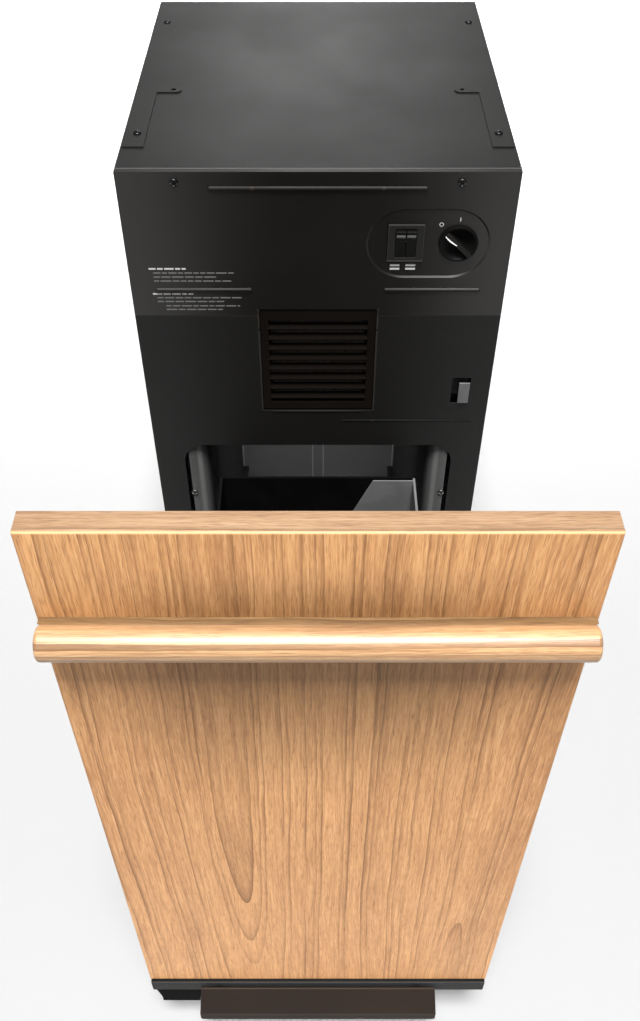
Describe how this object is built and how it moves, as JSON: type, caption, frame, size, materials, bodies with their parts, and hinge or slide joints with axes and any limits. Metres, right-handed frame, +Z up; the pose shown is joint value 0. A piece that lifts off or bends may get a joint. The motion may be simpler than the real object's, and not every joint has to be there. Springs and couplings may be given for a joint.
{
  "type": "trash compactor",
  "caption": "Under-counter trash compactor with a wood-fronted pull-out drawer, lift-over refuse bin, screw-driven ram, louvred filter door, key knob and rocker switches.",
  "frame": {"origin": "centre of the whole object's footprint on the floor, with the drawer fully open", "axes": "+Z up, -Y towards the user (the way the drawer opens), +X to the user's right"},
  "size_m": [0.3834, 0.912, 0.8713],
  "materials": {
    "textured_black": "fine pebbled satin paint",
    "control_black": "smooth satin paint",
    "zinc_steel": "zinc plated sheet",
    "fastener_black": "black oxide",
    "fastener_bright": "bright zinc",
    "foot_black": "moulded pad",
    "switch_black": "moulded, low gloss",
    "switch_case": "moulded",
    "plunger_grey": "moulded",
    "grille_brown": "moulded, satin",
    "carbon": "charcoal block in mesh",
    "fan_plastic": "moulded",
    "motor_paint": "grey enamel",
    "gear_casting": "die cast",
    "screw_steel": "rolled thread, oiled",
    "drive_steel": "oiled steel",
    "bronze": "oil-filled bronze",
    "ram_steel": "black paint, scuffed",
    "cover_grey": "satin dark grey",
    "bumper_rubber": "moulded",
    "gland_black": "moulded nylon",
    "oak": "clear satin lacquer",
    "door_black": "satin paint",
    "toe_black": "semi-gloss",
    "pedal_bronze": "satin bronze-brown",
    "bin_black": "moulded, satin",
    "bin_grey": "moulded, satin",
    "pin_steel": "plain steel"
  },
  "bodies": {
    "cabinet": {"back_panel": "textured_black", "base_pan": "zinc_steel", "cabinet_screws": "fastener_black", "charcoal_filter": "carbon", "control_panel": "control_black", "cord_gland": "gland_black", "countertop_brackets": "textured_black", "cover_screws": "fastener_bright", "drive_chain": "drive_steel", "drive_motor": "motor_paint", "drive_plate": "zinc_steel", "fan_housing": "fan_plastic", "fan_motor": "motor_paint", "frame_posts": "zinc_steel", "front_frame": "textured_black", "gear_case": "gear_casting", "interlock_switch": "switch_case", "key_switch_body": "switch_case", "left_screw_cover": "cover_grey", "left_side_panel": "textured_black", "leveling_feet": "foot_black", "lower_bushes": "bronze", "rear_bumpers": "bumper_rubber", "right_screw_cover": "cover_grey", "right_side_panel": "textured_black", "rocker_switch_body": "switch_case", "slide_outer_members": "zinc_steel", "switch_bezel": "switch_black", "thrust_bearings": "drive_steel", "top_panel": "textured_black"},
    "drawer": {"wood_panel": "oak", "handle_bar": "oak", "handle_rail": "oak", "door_pan": "door_black", "inner_door_panel": "door_black", "toe_strip": "toe_black", "container": "bin_black", "drawer_cradle": "door_black", "slide_inner_members": "zinc_steel", "side_hinge_pin": "pin_steel", "pedal_shaft": "pin_steel", "pedal_bracket": "toe_black", "pedal_spring": "pin_steel"},
    "slide_middles": {"slide_middle_members": "zinc_steel"},
    "tilt_side": {"container_side": "bin_grey"},
    "pedal": {"toe_pedal": "pedal_bronze"},
    "key": {"key_knob": "switch_black"},
    "pack_rocker": {"pack_rocker": "switch_black"},
    "fan_rocker": {"fan_rocker": "switch_black"},
    "filter_cover": {"filter_door": "grille_brown"},
    "plunger": {"interlock_plunger": "plunger_grey"},
    "ram": {"ram_tray": "ram_steel", "ram_beam": "ram_steel", "power_nuts": "bronze"},
    "left_screw": {"left_power_screw": "screw_steel", "left_screw_sprocket": "drive_steel"},
    "right_screw": {"right_power_screw": "screw_steel", "right_screw_sprocket": "drive_steel"},
    "drive_output": {"drive_sprocket": "drive_steel"},
    "fan": {"fan_impeller": "fan_plastic"}
  },
  "joints": [
    {"name": "drawer_slide", "type": "slide", "parent": "cabinet", "child": "drawer", "axis": [0, 1, 0], "range_m": [0, 0.4155]},
    {"name": "slide_middle_travel", "type": "slide", "parent": "cabinet", "child": "slide_middles", "axis": [0, 1, 0], "range_m": [0, 0.20775]},
    {"name": "side_tilt", "type": "hinge", "parent": "drawer", "child": "tilt_side", "pos_m": [0.1145, -0.1788, 0.11], "axis": [0, -1, 0], "range_deg": [-18, 0]},
    {"name": "pedal_press", "type": "hinge", "parent": "drawer", "child": "pedal", "pos_m": [0, -0.4208, 0.095], "axis": [1, 0, 0], "range_deg": [0, 10], "stiffness_Nm_per_rad": 0.8, "springref_deg": -20.05},
    {"name": "key_turn", "type": "hinge", "parent": "cabinet", "child": "key", "pos_m": [0.1375, 0.0312, 0.791], "axis": [0, 1, 0], "range_deg": [0, 45]},
    {"name": "pack_rocker_tip", "type": "hinge", "parent": "cabinet", "child": "pack_rocker", "pos_m": [0.08065, 0.0342, 0.7921], "axis": [1, 0, 0], "range_deg": [-12, 0]},
    {"name": "fan_rocker_tip", "type": "hinge", "parent": "cabinet", "child": "fan_rocker", "pos_m": [0.09095, 0.0342, 0.7921], "axis": [1, 0, 0], "range_deg": [-12, 0]},
    {"name": "filter_door_swing", "type": "hinge", "parent": "cabinet", "child": "filter_cover", "pos_m": [0, 0.0357, 0.583], "axis": [-1, 0, 0], "range_deg": [-45, 0]},
    {"name": "plunger_press", "type": "slide", "parent": "cabinet", "child": "plunger", "axis": [0, 1, 0], "range_m": [0, 0.006], "stiffness_N_per_m": 60, "springref_m": -0.003},
    {"name": "ram_drive", "type": "slide", "parent": "cabinet", "child": "ram", "axis": [0, 0, -1], "range_m": [0, 0.28]},
    {"name": "left_screw_turn", "type": "hinge", "parent": "cabinet", "child": "left_screw", "pos_m": [-0.16, 0.2362, 0.4], "axis": [0, 0, 1], "range_deg": [0, 10080]},
    {"name": "right_screw_turn", "type": "hinge", "parent": "cabinet", "child": "right_screw", "pos_m": [0.16, 0.2362, 0.4], "axis": [0, 0, 1], "range_deg": [0, 10080]},
    {"name": "drive_output_turn", "type": "hinge", "parent": "cabinet", "child": "drive_output", "pos_m": [0, 0.3562, 0.85], "axis": [0, 0, 1], "range_deg": [0, 10080]},
    {"name": "fan_spin", "type": "hinge", "parent": "cabinet", "child": "fan", "pos_m": [0, 0.0712, 0.647], "axis": [0, 1, 0], "continuous": true}
  ],
  "couplings": [
    {"joint": "slide_middle_travel", "follows": "drawer_slide", "ratio": 0.5},
    {"joint": "left_screw_turn", "follows": "ram_drive", "rad_per_m": 628.32},
    {"joint": "right_screw_turn", "follows": "ram_drive", "rad_per_m": 628.32},
    {"joint": "drive_output_turn", "follows": "ram_drive", "rad_per_m": 628.32}
  ]
}
